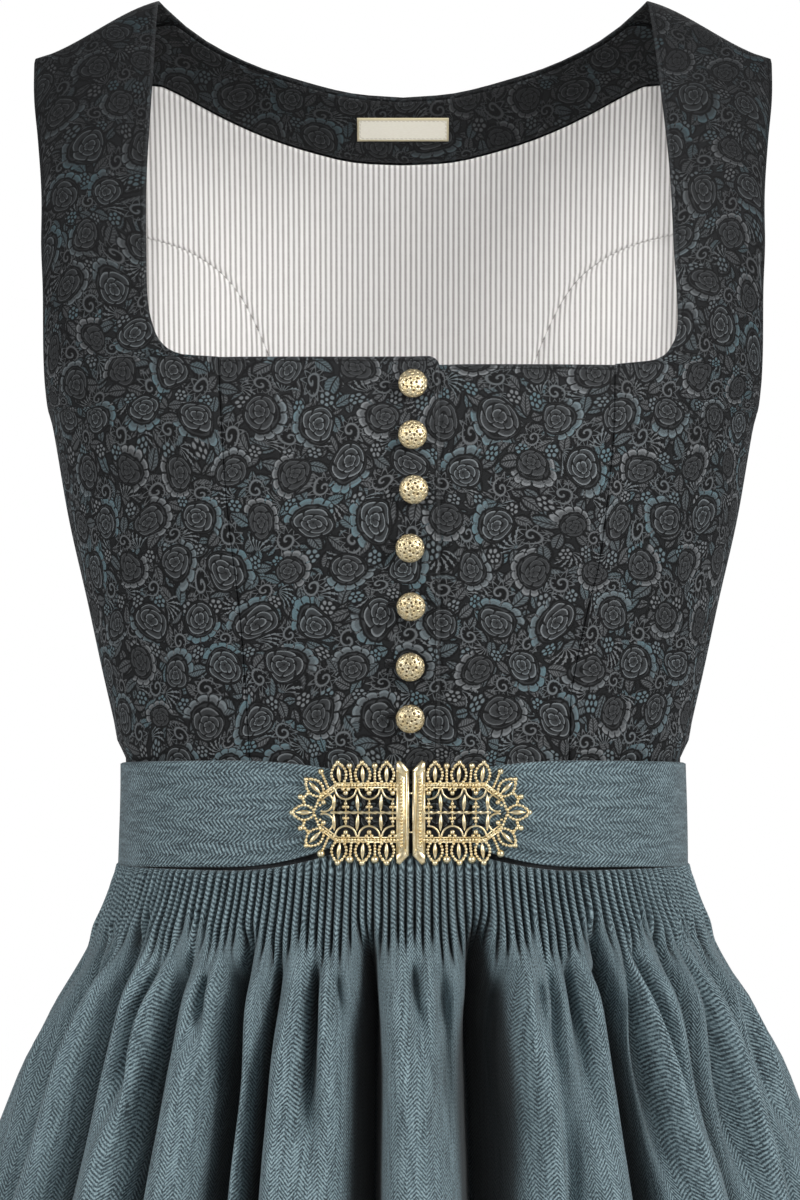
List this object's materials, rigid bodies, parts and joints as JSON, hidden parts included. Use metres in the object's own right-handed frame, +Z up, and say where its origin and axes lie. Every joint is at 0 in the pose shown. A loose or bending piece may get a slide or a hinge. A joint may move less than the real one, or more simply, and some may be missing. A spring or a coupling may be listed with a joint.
{
  "type": "dirndl dress with apron",
  "caption": "Sleeveless dirndl filled out as worn: princess-seamed bodice with ball buttons, gathered skirt, and a gathered apron on a band with a filigree clasp.",
  "frame": {"origin": "centre plane, midway between the shoulder straps, at the inner face of the straps' crest where the wearer's shoulders carry the dress", "axes": "+Z up, the front faces -Y, +X towards the wearer's left"},
  "size_m": [0.706, 0.6018, 1.0296],
  "materials": {
    "brocade": "woven brocade, dark ground with grey and dull blue figures",
    "skirt_cloth": "plain dark weave, matte",
    "lining": "striped cotton",
    "label": "woven tape, plain",
    "herringbone": "herringbone twill with a soft sheen",
    "gold_metal": "antique light gold, polished on the high points"
  },
  "bodies": {
    "root": {"front_overlap": "brocade", "front_underlap": "brocade", "side_front_right": "brocade", "side_front_left": "brocade", "back_centre": "brocade", "side_back_right": "brocade", "side_back_left": "brocade", "lining_centre": "lining", "lining_side_right": "lining", "lining_side_left": "lining", "neck_facing": "brocade", "blank_label": "label", "button_1": "gold_metal", "button_2": "gold_metal", "button_3": "gold_metal", "button_4": "gold_metal", "button_5": "gold_metal", "button_6": "gold_metal", "button_7": "gold_metal", "dress_skirt": "skirt_cloth", "apron_skirt": "herringbone", "apron_band": "herringbone", "clasp_right": "gold_metal", "clasp_left": "gold_metal"}
  },
  "joints": []
}
